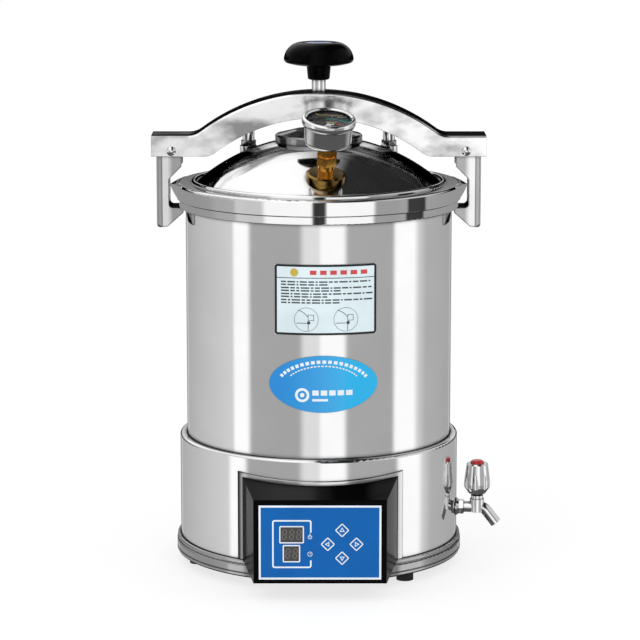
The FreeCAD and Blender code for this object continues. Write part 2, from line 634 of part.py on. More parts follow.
def make_valves():
    z = dome_height(VALVE_X, VALVE_Y) + VALVE_LIFT
    seats = []
    for x in (-VALVE_X, VALVE_X):
        seat = cylinder(10, z - 10, z + 2.98, x, VALVE_Y).cut(cylinder(5.02, z - 40, z + 40, x, VALVE_Y))
        seats.append(seat.cut(sphere(DOME_SPHERE_R, DOME_CENTRE)))
    save("valve_seats", group(seats))
    make_safety_valve(-VALVE_X, VALVE_Y, z)
    make_vent_valve(VALVE_X, VALVE_Y, z)


def valve_body(x, y, z):
    spigot = cylinder(VALVE_SPIGOT_R, z - 15, z + 6, x, y)
    return fuse(spigot, hexagon(17, z + 3, z + 9, x, y), cylinder(7.0, z + 9, z + 24, x, y))


def make_safety_valve(x, y, z):
    body = valve_body(x, y, z).cut(cylinder(5.4, z + 11, z + 30, x, y))
    save("safety_valve_body", body.cut(cylinder(2.4, z - 20, z + 30, x, y)))
    save("safety_valve_spring", coil_spring(3.9, 0.7, 2.4, z + 12.2, 4, x, y))
    save("safety_valve_cap", tube(7.0, 1.9 + HALF_FIT, z + 24.02, z + 27, x, y))
    stem = fuse(cylinder(1.9, z + 11.2, z + 32, x, y), cylinder(3.0, z + 11.2, z + 12, x, y))
    save("safety_valve_plunger", fuse(stem, Part.makeTorus(6.0, 1.2, V(x, y, z + 36), X_AXIS)))


def make_vent_valve(x, y, z):
    body = valve_body(x, y, z).cut(cylinder(3.0 + HALF_FIT, z + 10, z + 30, x, y))
    save("vent_valve_body", body.cut(cylinder(2.0, z - 20, z + 10.5, x, y)))
    lever = fuse(cylinder(3.0, z + 10.5, z + 26, x, y), cylinder(7.4, z + 24.2, z + 31, x, y),
                 block(x, x + 24, y - 3, y + 3, z + 26, z + 30.5))
    save("vent_valve_lever", lever)


def coil_spring(r, wire_r, pitch, z0, turns, x, y):
    helix = Part.makeHelix(pitch, pitch * turns, r)
    helix.translate(V(x, y, z0 + wire_r))
    start = V(x + r, y, z0 + wire_r)
    section = Part.Wire(Part.makeCircle(wire_r, start, Y_AXIS))
    return Part.Wire(helix.Edges).makePipeShell([section], True, True)


# ---- closing beam --------------------------------------------------------------------------
def beam_outline(end_top, top_z, top_arc_r, end_bottom, arch_z, bottom_arc_r):
    top_centre, low_centre = top_z - top_arc_r, arch_z - bottom_arc_r
    top_x = math.sqrt(top_arc_r ** 2 - (end_top - top_centre) ** 2)
    low_x = math.sqrt(bottom_arc_r ** 2 - (end_bottom - low_centre) ** 2)
    end = BEAM_HALF_LENGTH
    return [(-end, end_bottom), (-end, end_top), (-top_x, end_top), ("arc", (0, top_z), (top_x, end_top)),
            (end, end_top), (end, end_bottom), (low_x, end_bottom), ("arc", (0, arch_z), (-low_x, end_bottom))]


def crossing_edges(low_x, high_x):
    """Picks straight edges that run across the beam, at a distance from the middle."""
    def wanted(edge):
        box = edge.BoundBox
        return box.YLength > 40 and box.XLength < 0.01 and low_x < abs(box.Center.x) < high_x
    return wanted


def make_beam():
    solid = slab_xz(beam_outline(BEAM_END_TOP_Z, BEAM_TOP_Z, BEAM_TOP_ARC_R, BEAM_END_BOTTOM_Z,
                                 BEAM_ARCH_BOTTOM_Z, BEAM_BOTTOM_ARC_R), -BEAM_HALF_WIDTH, BEAM_HALF_WIDTH)
    solid = round_edges(solid, 22, crossing_edges(100, 145))
    solid = round_edges(solid, 2.4, lambda edge: edge.BoundBox.ZMin > BEAM_END_TOP_Z - 0.1
                        and edge.BoundBox.YLength < 0.01)
    past_end, roof = BEAM_HALF_LENGTH + 3, BEAM_END_TOP_Z - BEAM_WALL
    core = slab_xz([
        (-past_end, 400), (-past_end, roof), (-136.5, roof),
        ("arc", (0, BEAM_TOP_Z - BEAM_WALL), (136.5, roof)), (past_end, roof), (past_end, 400)],
        -BEAM_HALF_WIDTH + BEAM_WALL, BEAM_HALF_WIDTH - BEAM_WALL)
    beam = solid.cut(core).cut(cylinder(9.0, 500, 550))
    for side in (-1, 1):
        beam = beam.cut(cylinder_y(PIN_R, -30, 30, side * PIN_X, PIN_Z))
    save("beam", beam)

    nut_top = BEAM_TOP_Z - BEAM_WALL - 0.8
    nut = fuse(cylinder(15, 512, nut_top), cylinder(8.9, nut_top - 1, BEAM_TOP_Z - 0.3),
               block(-20, 20, -22.4, 22.4, 517, 521))
    save("beam_nut", nut.cut(cylinder(SCREW_R + HALF_FIT, 500, 550)))


def hook_outline():
    """Left hook in XZ: a C whose lower lip reaches under the pot flange."""
    outer, inner, waist, top = -HOOK_OUTER_X, -HOOK_INNER_X, -HOOK_WAIST_X, HOOK_TOP_Z
    return [(outer, 388), (outer, top - 7), ("arc", (outer + 2, top - 2), (outer + 7, top)),
            (inner - 7, top), ("arc", (inner - 2, top - 2), (inner, top - 7)),
            (inner, 453), (waist, 438.5), (waist, 410.5),
            ("arc", (waist + 1.3, 407.9), (waist + 3.8, NOSE_TOP_Z)),
            (-HOOK_NOSE_X, NOSE_TOP_Z), (-HOOK_NOSE_X, 401), (outer + 12, 385.4), (outer + 3, 384.6),
            ("arc", (outer + 0.9, 385.6), (outer, 388))]


def make_hooks():
    left = slab_xz(hook_outline(), -HOOK_HALF_WIDTH, HOOK_HALF_WIDTH)
    swing_room = cylinder_y(14.2, -30, 30, -PIN_X, PIN_Z)
    above = block(-200, -140, -30, 30, PIN_Z, 500).cut(swing_room)
    left = left.cut(above)
    gap = HOOK_HALF_WIDTH - HOOK_WALL
    channel = block(-HOOK_OUTER_X + HOOK_WALL, -140, -gap, gap, 408.5, 500)
    left = left.cut(channel)
    left = left.cut(cylinder_y(PIN_R + HALF_FIT, -30, 30, -PIN_X, PIN_Z))
    left = round_edges(left, 2.6, is_hook_bend)
    save("hook_left", left)
    save("hook_right", mirrored_x(left))
    make_pins()


def is_hook_bend(edge):
    """The two long outside corners, where the sheet bends from the back to the cheeks."""
    box = edge.BoundBox
    return box.ZLength > 40 and box.XMax < -HOOK_OUTER_X + 0.1 and abs(box.YMax) > HOOK_HALF_WIDTH - 0.1


def make_pins():
    head = sphere(PIN_HEAD_R, V(-PIN_X, -BEAM_HALF_WIDTH + 3.2, PIN_Z)).common(
        block(-200, -100, -40, -BEAM_HALF_WIDTH - 0.02, 450, 490))
    pin = fuse(cylinder_y(PIN_R, -BEAM_HALF_WIDTH - 0.5, BEAM_HALF_WIDTH + 0.5, -PIN_X, PIN_Z),
               head, head.mirror(V(0, 0, 0), Y_AXIS))
    save("hook_pins", group([pin, mirrored_x(pin)]))


def make_screw_and_knob():
    screw = fuse(cylinder(SCREW_R - 0.2, 488.2, 492.6), cylinder(SCREW_R - 1.6, 492, 498),
                 cylinder(SCREW_R, 497.2, 560), cylinder(SCREW_NECK_R, 559, 572))
    save("clamp_screw", screw)
    r, rim_z = KNOB_R, KNOB_RIM_Z
    mushroom = lathe([
        (0, 548.8), (10, 548.8), ("arc", (11.7, 549.6), (12.4, 551.5)), (13.4, 562),
        ("arc", (14.3, 564.4), (16.8, rim_z - 8)), ("arc", (29, rim_z - 7.2), (r - 2.2, rim_z - 5)),
        ("arc", (r - 0.3, rim_z - 3), (r, rim_z)),
        ("arc", (r - 5.4, rim_z + 11.4), (KNOB_INSERT_R + 1.5, KNOB_TOP_Z)), (0, KNOB_TOP_Z)])
    for angle in KNOB_SCALLOP_ANGLES:
        mushroom = mushroom.cut(turned(cylinder(48, 555, 600, KNOB_R + 42), angle))
    mushroom = mushroom.cut(cylinder(SCREW_R, 540, 560)).cut(cylinder(SCREW_NECK_R, 559, 572))
    save("knob", mushroom.cut(cylinder(KNOB_INSERT_R, KNOB_INSERT_Z, KNOB_TOP_Z + 1)))
    r, z = KNOB_INSERT_R - 0.05, KNOB_INSERT_Z
    save("knob_insert", lathe([(0, z), (r, z), (r, KNOB_TOP_Z - 0.4),
                               ("arc", (12, KNOB_TOP_Z + 0.3), (7, KNOB_TOP_Z + 0.6)), (0, KNOB_TOP_Z + 0.7)]))


# ---- plates on the jacket ------------------------------------------------------------------
def make_plates():
    skin = tube(POT_R + 0.6, POT_R + 0.02, 150, 400)
    plate = block(PLATE_X0, PLATE_X1, -200, -100, PLATE_Z0, PLATE_Z1)
    save("instruction_plate", skin.common(plate))
    outline = Part.Wire(Part.Ellipse(V(0, 0, 0), BADGE_HALF_W, BADGE_HALF_H).toShape())
    oval = Part.Face(outline).extrude(V(0, 0, 100))
    oval.rotate(V(0, 0, 0), X_AXIS, 90)
    oval.translate(V(BADGE_X, -100, BADGE_Z))
    save("oval_badge", skin.common(oval))


os.makedirs("parts", exist_ok=True)
make_base()
make_control_box()
make_pot()
make_tap()
make_lid()
make_gauge()
make_valves()
make_beam()
make_hooks()
make_screw_and_knob()
make_plates()
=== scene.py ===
"""Looks of the benchtop autoclave: materials, printed details, studio and camera round the CAD frame."""

import json
import math

import bmesh
import bpy
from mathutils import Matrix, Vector


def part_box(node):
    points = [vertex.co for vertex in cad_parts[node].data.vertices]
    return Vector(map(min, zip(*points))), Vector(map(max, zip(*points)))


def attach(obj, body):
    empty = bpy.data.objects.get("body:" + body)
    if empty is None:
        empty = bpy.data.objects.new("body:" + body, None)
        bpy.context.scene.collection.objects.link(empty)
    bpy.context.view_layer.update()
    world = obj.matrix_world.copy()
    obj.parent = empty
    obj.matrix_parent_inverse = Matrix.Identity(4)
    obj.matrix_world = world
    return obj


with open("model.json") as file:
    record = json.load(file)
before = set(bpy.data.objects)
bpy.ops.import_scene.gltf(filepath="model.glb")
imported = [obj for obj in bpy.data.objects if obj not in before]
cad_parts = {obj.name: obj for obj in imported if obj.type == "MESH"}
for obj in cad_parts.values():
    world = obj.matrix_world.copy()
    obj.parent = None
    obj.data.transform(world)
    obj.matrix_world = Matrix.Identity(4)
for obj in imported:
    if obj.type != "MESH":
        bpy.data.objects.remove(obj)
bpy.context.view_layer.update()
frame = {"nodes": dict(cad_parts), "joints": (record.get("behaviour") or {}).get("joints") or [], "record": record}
nodes = frame["nodes"]
joints = {joint["name"]: joint for joint in frame["joints"]}

MM = 0.001
PRINT_THICKNESS = 0.12 * MM
CREVICE_REACH = 6 * MM


# ---- places taken from the frame ----------------------------------------------------------
panel_lo, panel_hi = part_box("control_panel")
display_lo, display_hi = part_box("led_displays")
plate_lo, plate_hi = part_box("instruction_plate")
badge_lo, badge_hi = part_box("oval_badge")
plate_r = -plate_lo.y
gauge_joint = joints["gauge_needle_turn"]
gauge_axis = Vector(gauge_joint["axis"]).normalized()
gauge_origin = Vector(gauge_joint["pos_m"])


# ---- node tree helpers -----------------------------------------------------------------------
def new_material(name, color, roughness, metallic=0.0):
    material = bpy.data.materials.new(name)
    material.use_nodes = True
    bsdf = material.node_tree.nodes["Principled BSDF"]
    bsdf.inputs["Base Color"].default_value = (*color, 1)
    bsdf.inputs["Roughness"].default_value = roughness
    bsdf.inputs["Metallic"].default_value = metallic
    return material


def add_node(tree, kind, **settings):
    node = tree.nodes.new(kind)
    for key, value in settings.items():
        if key in node.inputs:
            node.inputs[key].default_value = value
        else:
            setattr(node, key.lower(), value)
    return node


def object_coordinates(tree, stretch=(1, 1, 1)):
    coordinates = tree.nodes.new("ShaderNodeTexCoord")
    mapping = tree.nodes.new("ShaderNodeMapping")
    mapping.inputs["Scale"].default_value = stretch
    tree.links.new(coordinates.outputs["Object"], mapping.inputs["Vector"])
    return mapping.outputs["Vector"]


def object_place(tree):
    """X, Y and Z of the shaded point in the frame's metres."""
    separate = tree.nodes.new("ShaderNodeSeparateXYZ")
    tree.links.new(object_coordinates(tree), separate.inputs["Vector"])
    return separate.outputs["X"], separate.outputs["Y"], separate.outputs["Z"]


def noise(tree, scale, detail=3.0, stretch=(1, 1, 1)):
    node = add_node(tree, "ShaderNodeTexNoise", Scale=scale, Detail=detail)
    tree.links.new(object_coordinates(tree, stretch), node.inputs["Vector"])
    return node.outputs["Fac"]


def ramp(tree, factor, stops, mode="LINEAR"):
    """Colour ramp of (position, colour) stops; a single number is a grey."""
    node = tree.nodes.new("ShaderNodeValToRGB")
    node.color_ramp.interpolation = mode
    elements = node.color_ramp.elements
    while len(elements) < len(stops):
        elements.new(0.5)
    for element, (position, color) in zip(elements, stops):
        element.position = position
        if isinstance(color, (int, float)):
            color = (color, color, color)
        element.color = (*color, 1)
    tree.links.new(factor, node.inputs["Fac"])
    return node.outputs["Color"]


def spread(tree, factor, low, high):
    """Takes a noise value, which stays near 0.5, to the range from low to high."""
    node = add_node(tree, "ShaderNodeMapRange")
    node.inputs["From Min"].default_value = 0.3
    node.inputs["From Max"].default_value = 0.7
    node.inputs["To Min"].default_value = low
    node.inputs["To Max"].default_value = high
    tree.links.new(factor, node.inputs["Value"])
    return node.outputs["Result"]


def math_node(tree, operation, first, second=0.0):
    node = tree.nodes.new("ShaderNodeMath")
    node.operation = operation
    for socket, value in zip(node.inputs, (first, second)):
        if isinstance(value, (int, float)):
            socket.default_value = value
        else:
            tree.links.new(value, socket)
    return node.outputs[0]


def mix_colors(tree, factor, first, second):
    node = tree.nodes.new("ShaderNodeMix")
    node.data_type = "RGBA"
    for index, value in ((0, factor), (6, first), (7, second)):
        if isinstance(value, (int, float)):
            value = value if index == 0 else (value, value, value, 1)
        if isinstance(value, (int, float, tuple)):
            node.inputs[index].default_value = value
        else:
            tree.links.new(value, node.inputs[index])
    return node.outputs[2]


def surface_relief(material, height, distance, edge_radius=0.0):
    """Bump from a height, on top of softly rounded edges."""
    tree = material.node_tree
    bsdf = tree.nodes["Principled BSDF"]
    bump = add_node(tree, "ShaderNodeBump", Distance=distance)
    bump.inputs["Strength"].default_value = 1.0
    tree.links.new(height, bump.inputs["Height"])
    if edge_radius:
        bevel = add_node(tree, "ShaderNodeBevel", Radius=edge_radius)
        bevel.samples = 4
        tree.links.new(bevel.outputs["Normal"], bump.inputs["Normal"])
    tree.links.new(bump.outputs["Normal"], bsdf.inputs["Normal"])


def multiply_color(material, factor):
    """Multiplies a metal's colour, seen straight on and at its edges, and keeps what was linked there."""
    tree = material.node_tree
    bsdf = tree.nodes["Principled BSDF"]
    for name in ("Base Color", "Specular Tint"):
        socket = bsdf.inputs[name]
        node = tree.nodes.new("ShaderNodeVectorMath")
        node.operation = "MULTIPLY"
        if socket.links:
            tree.links.new(socket.links[0].from_socket, node.inputs[0])
        else:
            node.inputs[0].default_value = socket.default_value[:3]
        tree.links.new(factor, node.inputs[1])
        tree.links.new(node.outputs[0], socket)


def painted_crevice_shade(material, reach, darkest=0.03):
    """Painted shade: darkens the metal's colour where another surface stands within reach, as in grooves and
    joints.
    """
    tree = material.node_tree
    occlusion = add_node(tree, "ShaderNodeAmbientOcclusion", Distance=reach)
    occlusion.samples = 6
    multiply_color(material, ramp(tree, occlusion.outputs["AO"], [(0.45, darkest), (0.85, 1.0)]))


def painted_outline_shade(material):
    """Painted shade: darkens the metal's colour where it turns away from the eye, so that round parts get a thin
    painted dark outline.
    """
    tree = material.node_tree
    weight = add_node(tree, "ShaderNodeLayerWeight", Blend=0.5)
    multiply_color(material, ramp(tree, weight.outputs["Facing"], [(0.845, 1.0), (0.92, 0.10)]))


def mirrored_direction(tree):
    """X, Y and Z of the direction that a surface mirrors."""
    coordinates = tree.nodes.new("ShaderNodeTexCoord")
    direction = tree.nodes.new("ShaderNodeSeparateXYZ")
    tree.links.new(coordinates.outputs["Reflection"], direction.inputs["Vector"])
    return direction.outputs["X"], direction.outputs["Y"], direction.outputs["Z"]


def turn_from_front(tree, x, y):
    """Azimuth of a direction as 0 to 1, where 0.5 is the front and 0.75 the right."""
    azimuth = math_node(tree, "ARCTAN2", x, math_node(tree, "MULTIPLY", y, -1.0))
    return math_node(tree, "ADD", math_node(tree, "DIVIDE", azimuth, 2 * math.pi), 0.5)


def turn_stops(stops):
    """Ramp stops given in degrees round from the front, from -180 to 180."""
    return [((angle + 180) / 360, value) for angle, value in stops]


def surface_normal(tree, output="Normal"):
    geometry = tree.nodes.new("ShaderNodeNewGeometry")
    normal = tree.nodes.new("ShaderNodeSeparateXYZ")
    tree.links.new(geometry.outputs[output], normal.inputs["Vector"])
    return normal.outputs["X"], normal.outputs["Y"], normal.outputs["Z"]


def painted_reflection_bars(material, stops, strength=0.96):
    """Painted reflection: dark and bright uprights, given off as glow by this material's upright faces as if they
    mirrored them, and painted dark on its sloped faces where they mirror a low direction.
    """
    tree = material.node_tree
    bsdf = tree.nodes["Principled BSDF"]
    x, y, z = mirrored_direction(tree)
    bars = ramp(tree, turn_from_front(tree, x, y), turn_stops(stops))
    tilt = math_node(tree, "ABSOLUTE", surface_normal(tree, "True Normal")[2])
    upright = ramp(tree, tilt, [(0.25, 1.0), (0.45, 0.0)])
    multiply_color(material, mix_colors(tree, upright, 1.0, 1 - strength))
    # the painted reflection bars glow: the upright faces give them off as emission, with their own colour nearly
    # put out
    tree.links.new(bars, bsdf.inputs["Emission Color"])
    tree.links.new(math_node(tree, "MULTIPLY", upright, strength), bsdf.inputs["Emission Strength"])
    # painted dark reflection on sloped faces that mirror a direction near the horizon
    level = math_node(tree, "ADD", math_node(tree, "MULTIPLY", z, 0.5), 0.5)
    low_horizon = ramp(tree, level, [(0.66, 0.015), (0.70, 1.0)])
    dome = ramp(tree, surface_normal(tree)[2], [(0.30, 0.0), (0.40, 1.0), (0.92, 1.0), (0.96, 0.0)])
    multiply_color(material, mix_colors(tree, dome, 1.0, low_horizon))


def painted_top_reflection(material, darkness):
    """Painted reflection of a dark backdrop on the faces that look up, in front of a line from front left to rear
    right.

    It shows only where the face mirrors what is straight behind the object.
    """
    tree = material.node_tree
    place_x, place_y = object_place(tree)[:2]
    line = math_node(tree, "ADD", math_node(tree, "MULTIPLY", place_x, 0.099), 6.5 * MM)
    past_line = math_node(tree, "MULTIPLY", math_node(tree, "SUBTRACT", place_y, line), 200.0)
    top_color = ramp(tree, past_line, [(0.0, darkness), (0.8, 1.0)])
    looking_up = ramp(tree, surface_normal(tree)[2], [(0.35, 0.0), (0.75, 1.0)])
    backward = ramp(tree, mirrored_direction(tree)[1], [(0.88, 0.0), (0.94, 1.0)])
    shown = math_node(tree, "MULTIPLY", looking_up, backward)
    multiply_color(material, mix_colors(tree, shown, 1.0, top_color))


# ---- materials -------------------------------------------------------------------------------
BRIM_REFLECTION_STOPS = [      # degrees round from the front, brightness of the painted reflection bars
    (-180, 0.30), (-100, 0.30), (-90, 0.37), (-73, 0.37), (-69, 0.55), (-47, 0.56), (-43, 0.95), (-6, 0.95),
    (-4, 0.005), (5, 0.005), (7, 0.95), (44, 0.95), (47, 0.32), (75, 0.32), (77, 0.005), (94, 0.005),
    (97, 0.33), (180, 0.30)]
HOOK_REFLECTION_STOPS = [     # from 150 mm out to 183 mm, brightness of the painted reflection on the cheek and on the bend
    (0.40, 0.45), (0.57, 0.95), (0.735, 0.95), (0.76, 0.15), (0.79, 0.42), (0.93, 0.55)]


def steel(name, light, dark, smooth, rough, edge_radius, polish_lines=(1, 1, 60)):
    """Polished stainless steel with faint polishing lines and smears."""
    material = new_material(name, (light, light, light), smooth, 1.0)
    tree = material.node_tree
    bsdf = tree.nodes["Principled BSDF"]
    smears = noise(tree, 14, 4)
    tree.links.new(ramp(tree, smears, [(0.35, dark), (0.65, light)]), bsdf.inputs["Base Color"])
    tree.links.new(spread(tree, noise(tree, 40, 5), smooth, rough), bsdf.inputs["Roughness"])
    surface_relief(material, noise(tree, 90, 2, polish_lines), 0.006 * MM, edge_radius)
    # painted shade in grooves and joints, and a painted dark outline where the metal turns away from the eye
    painted_crevice_shade(material, CREVICE_REACH)
    painted_outline_shade(material)
    return material


def hook_steel():
    """Bent sheet with painted reflections: cheeks with a painted bright band and painted dark inner rims, and a
    painted grey bend along the back.
    """
    material = steel("hook_steel", 0.92, 0.80, 0.07, 0.14, 2.2 * MM)
    tree = material.node_tree
    outward = math_node(tree, "ABSOLUTE", object_place(tree)[0])
    across = math_node(tree, "MULTIPLY", math_node(tree, "SUBTRACT", outward, 150 * MM), 30.0)
    # painted reflection: bright band, dark line and grey strip across the cheek and the bend
    multiply_color(material, ramp(tree, across, HOOK_REFLECTION_STOPS))
    # painted dark reflection on the cheeks' inner rims, kept off the bend
    bevel = add_node(tree, "ShaderNodeBevel", Radius=2.6 * MM)
    bevel.samples = 6
    normal = tree.nodes.new("ShaderNodeSeparateXYZ")
    tree.links.new(bevel.outputs["Normal"], normal.inputs["Vector"])
    rim = ramp(tree, math_node(tree, "ABSOLUTE", normal.outputs["Y"]), [(0.60, 0.06), (0.93, 1.0)])
    on_bend = ramp(tree, across, [(0.76, 0.0), (0.80, 1.0)])
    multiply_color(material, mix_colors(tree, on_bend, rim, 1.0))
    return material


def frame_steel():
    """Raised edge beside the control box: painted shadow on its left side, bright elsewhere."""
    material = steel("frame_steel", 0.86, 0.82, 0.05, 0.10, 0.5 * MM)
    tree = material.node_tree
    # painted shadow: the left side is darkened almost to black
    side = math_node(tree, "ADD", math_node(tree, "MULTIPLY", object_place(tree)[0], 20.0), 2.0)
    multiply_color(material, ramp(tree, side, [(0.25, 0.04), (0.40, 0.85)]))
    return material


def brim_steel():
    # steel of the lid and pot flange, with painted reflection bars that glow
    material = steel("brim_steel", 0.86, 0.82, 0.05, 0.10, 0.5 * MM)
    painted_reflection_bars(material, BRIM_REFLECTION_STOPS)
    return material


def plastic(name, color, roughness, relief_scale=900, relief=0.01 * MM, edge_radius=0.4 * MM, coat=0.0,
            specular=0.4, ior=1.5):
    material = new_material(name, color, roughness)
    tree = material.node_tree
    bsdf = tree.nodes["Principled BSDF"]
    bsdf.inputs["IOR"].default_value = ior
    bsdf.inputs["Specular IOR Level"].default_value = specular
    bsdf.inputs["Coat Weight"].default_value = coat
    bsdf.inputs["Coat Roughness"].default_value = 0.04
    worn = spread(tree, noise(tree, 60, 4), roughness * 0.8, roughness * 1.3)
    tree.links.new(worn, bsdf.inputs["Roughness"])
    dark = tuple(0.88 * c for c in color)
    tree.links.new(ramp(tree, noise(tree, 25, 3), [(0.3, dark), (0.7, color)]), bsdf.inputs["Base Color"])
    surface_relief(material, noise(tree, relief_scale, 2), relief, edge_radius)
    return material


def brass(name, light, dark, roughness):
    material = new_material(name, light, roughness, 1.0)
    tree = material.node_tree
    bsdf = tree.nodes["Principled BSDF"]
    tree.links.new(ramp(tree, noise(tree, 120, 5), [(0.35, dark), (0.65, light)]), bsdf.inputs["Base Color"])
    worn = spread(tree, noise(tree, 300, 4), roughness * 0.7, roughness * 1.5)
    tree.links.new(worn, bsdf.inputs["Roughness"])
    surface_relief(material, noise(tree, 1500, 2, (1, 1, 4)), 0.01 * MM, 0.3 * MM)
    return material


def glass():
    material = new_material("gauge_glass", (1, 1, 1), 0.02)
    bsdf = material.node_tree.nodes["Principled BSDF"]
    bsdf.inputs["Transmission Weight"].default_value = 1.0
    bsdf.inputs["IOR"].default_value = 1.2
    bsdf.inputs["Alpha"].default_value = 0.10
    return material


def badge_blue():
    """Printed blue that runs from a deeper left to a lighter right."""
    material = plastic("badge_blue", (0.01, 0.3, 0.65), 0.25, coat=0.4)
    tree = material.node_tree
    width = badge_hi.x - badge_lo.x
    from_left = math_node(tree, "SUBTRACT", object_place(tree)[0], badge_lo.x)
    across = math_node(tree, "DIVIDE", from_left, width)
    blues = [(0.1, (0.010, 0.235, 0.63)), (0.5, (0.016, 0.31, 0.68)), (0.75, (0.008, 0.41, 0.76))]
    color = ramp(tree, across, blues)
    tree.links.new(color, tree.nodes["Principled BSDF"].inputs["Base Color"])
    return material


def cloudy_steel():
    """Hand-polished steel of the beam: bright, with soft grey clouds along its sides."""
    material = steel("beam_steel", 0.95, 0.90, 0.07, 0.14, 1.2 * MM, (1, 30, 30))
    tree = material.node_tree
    clouds = noise(tree, 22, 4, (0.7, 1, 1.3))
    color = ramp(tree, clouds, [(0.34, 0.30), (0.44, 0.60), (0.54, 0.90), (0.70, 0.97)])
    tree.links.new(color, tree.nodes["Principled BSDF"].inputs["Base Color"])
    # painted dark reflection on the beam's top
    painted_top_reflection(material, 0.02)
    return material


MATERIALS = {
    "polished_steel": steel("polished_steel", 0.86, 0.82, 0.05, 0.10, 0.5 * MM),
    "hook_steel": hook_steel(),
    "beam_steel": cloudy_steel(),
    "brim_steel": brim_steel(),
    "frame_steel": frame_steel(),
    "trim_steel": steel("trim_steel", 0.46, 0.38, 0.05, 0.10, 0.3 * MM),
    # a darker copy of the polished steel: painted shade for the lid boss, which mirrors the dark beam
    "shadow_steel": steel("shadow_steel", 0.30, 0.22, 0.08, 0.14, 0.5 * MM),
    "brushed_steel": steel("brushed_steel", 0.62, 0.50, 0.25, 0.38, 0.3 * MM),
    "zinc_steel": steel("zinc_steel", 0.60, 0.52, 0.30, 0.40, 0.2 * MM),
    "chrome": steel("chrome", 0.88, 0.84, 0.03, 0.06, 0.3 * MM),
    "brass": brass("brass", (1.0, 0.54, 0.12), (0.72, 0.32, 0.05), 0.12),
    "dark_brass": brass("dark_brass", (0.30, 0.19, 0.05), (0.20, 0.12, 0.03), 0.12),
    "copper_pipe": brass("copper_pipe", (0.75, 0.42, 0.22), (0.55, 0.30, 0.15), 0.3),
    "black_rubber": plastic("black_rubber", (0.015, 0.015, 0.015), 0.7, 1200, 0.04 * MM),
    "silicone_rubber": plastic("silicone_rubber", (0.62, 0.60, 0.55), 0.5),
    "mineral_wool": plastic("mineral_wool", (0.55, 0.48, 0.28), 0.95, 250, 0.6 * MM, 0.0),
    "black_plastic": plastic("black_plastic", (0.001, 0.001, 0.0012), 0.14, 500, 0.003 * MM, 0.9 * MM,
                             specular=0.5, ior=1.12),
    "red_plastic": plastic("red_plastic", (0.50, 0.015, 0.015), 0.2, coat=0.5),
    "blue_insert": plastic("blue_insert", (0.035, 0.10, 0.30), 0.18, coat=0.6),
    "blue_panel": plastic("blue_panel", (0.004, 0.118, 0.42), 0.42, 2500, 0.004 * MM, 0.1 * MM, 0.0, 0.12),
    "key_membrane": plastic("key_membrane", (0.006, 0.13, 0.45), 0.40, 2500, 0.004 * MM, 0.3 * MM, 0.0, 0.12),
    "display_black": plastic("display_black", (0.035, 0.032, 0.030), 0.15, coat=0.5),
    "board_green": plastic("board_green", (0.02, 0.16, 0.07), 0.4),
    "dial_face": plastic("dial_face", (0.02, 0.022, 0.024), 0.5),
    "pointer_white": plastic("pointer_white", (0.85, 0.85, 0.85), 0.4, edge_radius=0.0),
    "gauge_glass": glass(),
    "label_film": plastic("label_film", (0.70, 0.82, 0.86), 0.4, coat=0.2, edge_radius=0.1 * MM),
    "badge_blue": badge_blue(),
    "print_white": plastic("print_white", (0.80, 0.86, 0.92), 0.45, edge_radius=0.0),
    "print_black": plastic("print_black", (0.010, 0.010, 0.012), 0.45, edge_radius=0.0),
    "print_grey": plastic("print_grey", (0.05, 0.06, 0.07), 0.5, edge_radius=0.0),
    "print_red": plastic("print_red", (0.62, 0.06, 0.06), 0.5, edge_radius=0.0),
    "print_yellow": plastic("print_yellow", (0.55, 0.42, 0.05), 0.5, edge_radius=0.0),
    "print_teal": plastic("print_teal", (0.01, 0.42, 0.34), 0.4, edge_radius=0.0),
    "segment_light": plastic("segment_light", (0.17, 0.165, 0.16), 0.4, edge_radius=0.0),
}
NODE_MATERIALS = {       # nodes that look unlike the rest of their material slot
    "beam": "beam_steel",
    "base_trim_ring": "trim_steel",
    "control_frame": "frame_steel",
    "lid": "brim_steel",
    "pot_flange": "brim_steel",
    "lid_boss": "shadow_steel",
    "gauge_base": "dark_brass",
    "hook_left": "hook_steel",
    "hook_right": "hook_steel",
}


def dress_cad_nodes():
    """Gives each CAD node its own material, or else the one of its material slot."""
    slots = {part["node"]: part["material_slot"] for part in frame["record"]["subparts"]}
    for name, node in nodes.items():
        material = MATERIALS[NODE_MATERIALS.get(name, slots[name])]
        node.data.materials.clear()
        node.data.materials.append(material)


# ---- printed details -------------------------------------------------------------------------
def on_panel(u, v, depth):
    return Vector((u, panel_lo.y - depth, v))


def on_jacket(u, v, depth):
    r = plate_r + depth
    return Vector((u, -math.sqrt(r * r - u * u), v))


def arc_points(u, v, r, start, end, steps=24):
    """Points of an arc; angles in degrees from +u towards +v."""
    angles = [math.radians(start + (end - start) * i / steps) for i in range(steps + 1)]
    return [(u + r * math.cos(a), v + r * math.sin(a)) for a in angles]


def rounded_path(corners, r, closed):
    """A polyline of square corners with each inner corner rounded."""
    points = []
    count = len(corners)
    for i, corner in enumerate(corners):
        if not closed and i in (0, count - 1):
            points.append(corner)
            continue
        here = Vector(corner)
        before = (Vector(corners[i - 1]) - here).normalized()
        after = (Vector(corners[(i + 1) % count]) - here).normalized()
        reach = r / math.tan(before.angle(after) / 2)
        for t in (0, 0.25, 0.5, 0.75, 1):
            start, end = here + before * reach, here + after * reach
            points.append(tuple(start * (1 - t) ** 2 + here * 2 * t * (1 - t) + end * t * t))
    return points


def split_long(points, closed, longest=3 * MM):
    """Adds points so that a long stretch can follow a curved surface."""
    result = []
    pairs = list(zip(points, points[1:] + points[:1])) if closed else list(zip(points, points[1:]))
    for (u0, v0), (u1, v1) in pairs:
        count = max(1, math.ceil(math.hypot(u1 - u0, v1 - v0) / longest))
        result += [(u0 + (u1 - u0) * i / count, v0 + (v1 - v0) * i / count) for i in range(count)]
    if not closed:
        result.append(points[-1])
    return result


